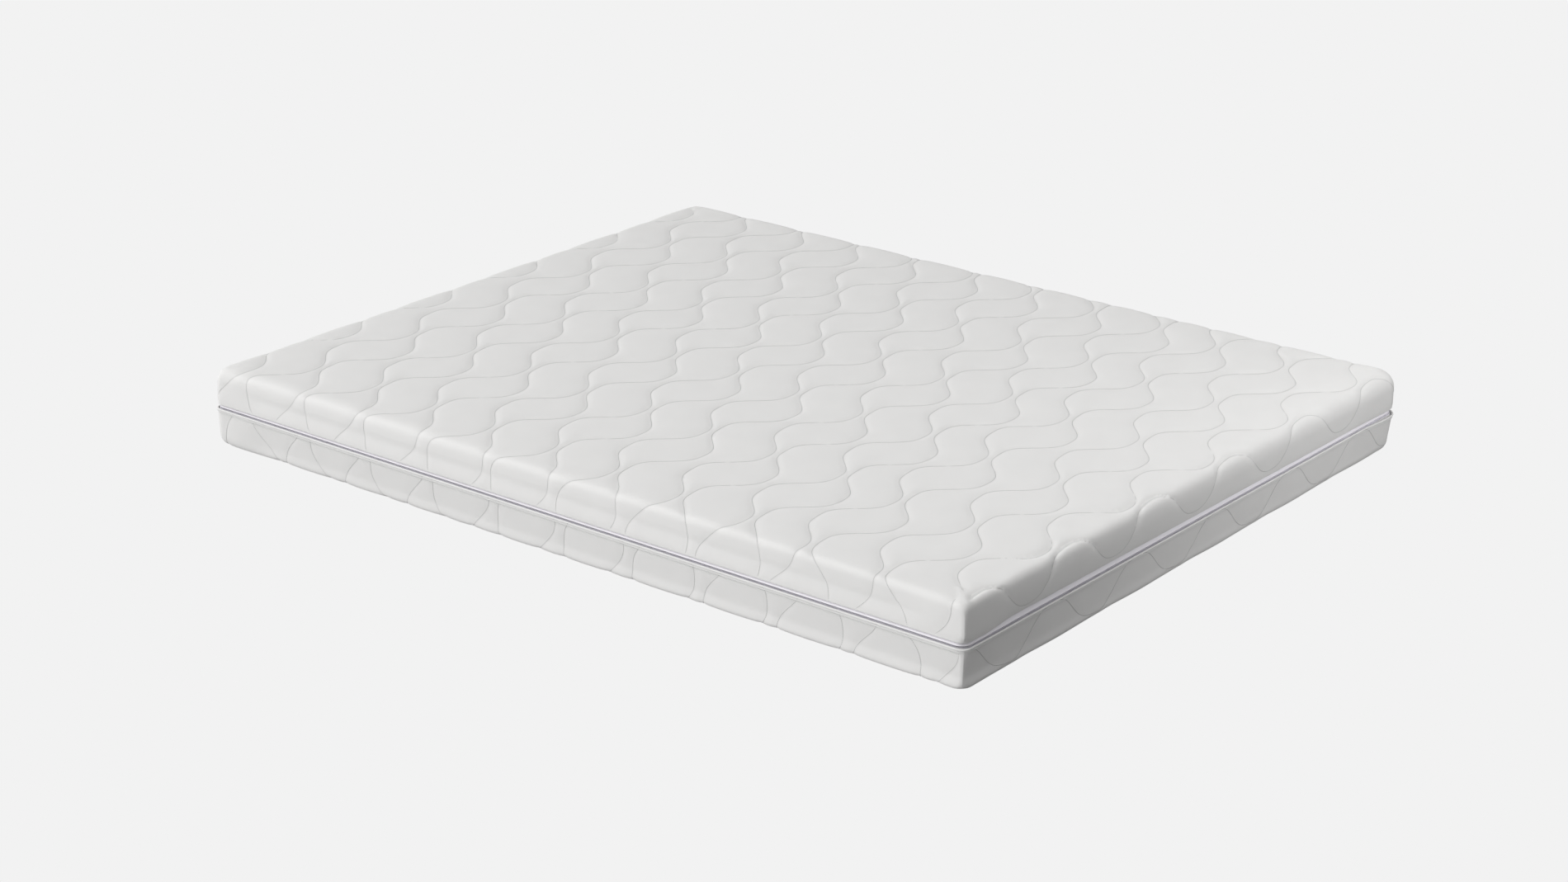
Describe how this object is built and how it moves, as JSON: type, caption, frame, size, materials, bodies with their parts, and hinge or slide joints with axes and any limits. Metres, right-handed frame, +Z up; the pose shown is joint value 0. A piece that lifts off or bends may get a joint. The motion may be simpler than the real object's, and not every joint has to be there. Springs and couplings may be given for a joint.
{
  "type": "memory foam mattress",
  "caption": "Flat rectangular foam mattress with rounded edges, a wave-quilted white knit cover in two halves, and a coil zip all round at mid height.",
  "frame": {"origin": "centre of the underside, on the plane the mattress rests on", "axes": "+Z up through the thickness, +Y along the length towards the head end, +X across the width; the foot end is -Y"},
  "size_m": [1.6, 2, 0.18],
  "materials": {
    "cover_knit": "matte quilted knit",
    "quilt_wadding": "loose polyester wadding",
    "quilt_backing": "thin bonded backing cloth",
    "cover_hem": "folded knit edge",
    "seam_tape": "pressed seam allowance",
    "zip_tape": "woven tape",
    "zip_coil": "satin nylon",
    "zip_metal": "crimped",
    "label_fabric": "woven satin",
    "memory_foam": "open-cell slow foam",
    "support_foam": "open-cell resilient foam",
    "sock_knit": "thin tubular knit",
    "slider_metal": "satin enamel",
    "pin_steel": "satin"
  },
  "bodies": {
    "lower_cover": {"lower_cover_knit": "cover_knit", "lower_cover_wadding": "quilt_wadding", "lower_cover_backing": "quilt_backing", "lower_cover_hem": "cover_hem", "lower_corner_seams": "seam_tape", "lower_zip_tape": "zip_tape", "lower_zip_coil": "zip_coil", "lower_zip_stop": "zip_metal", "care_label": "label_fabric"},
    "foam_core": {"memory_foam_layer": "memory_foam", "support_foam_layer": "support_foam", "inner_sock": "sock_knit"},
    "upper_cover": {"upper_cover_knit": "cover_knit", "upper_cover_wadding": "quilt_wadding", "upper_cover_backing": "quilt_backing", "upper_cover_hem": "cover_hem", "upper_corner_seams": "seam_tape", "upper_zip_tape": "zip_tape", "upper_zip_coil": "zip_coil", "upper_zip_stop": "zip_metal"},
    "zip_slider": {"zip_slider_body": "slider_metal"},
    "zip_pull": {"zip_pull_tab": "slider_metal", "zip_pull_pin": "pin_steel"}
  },
  "joints": [
    {"name": "core_lift", "type": "slide", "parent": "lower_cover", "child": "foam_core", "axis": [0, 0, 1], "range_m": [0, 0.3]},
    {"name": "upper_cover_lift", "type": "slide", "parent": "foam_core", "child": "upper_cover", "axis": [0, 0, 1], "range_m": [0, 0.3]},
    {"name": "slider_travel", "type": "slide", "parent": "lower_cover", "child": "zip_slider", "axis": [0, -1, 0], "range_m": [0, 1.85]},
    {"name": "pull_swing", "type": "hinge", "parent": "zip_slider", "child": "zip_pull", "pos_m": [0.7976, 0.925, 0.089], "axis": [0, 0, 1], "range_deg": [0, 165]}
  ]
}
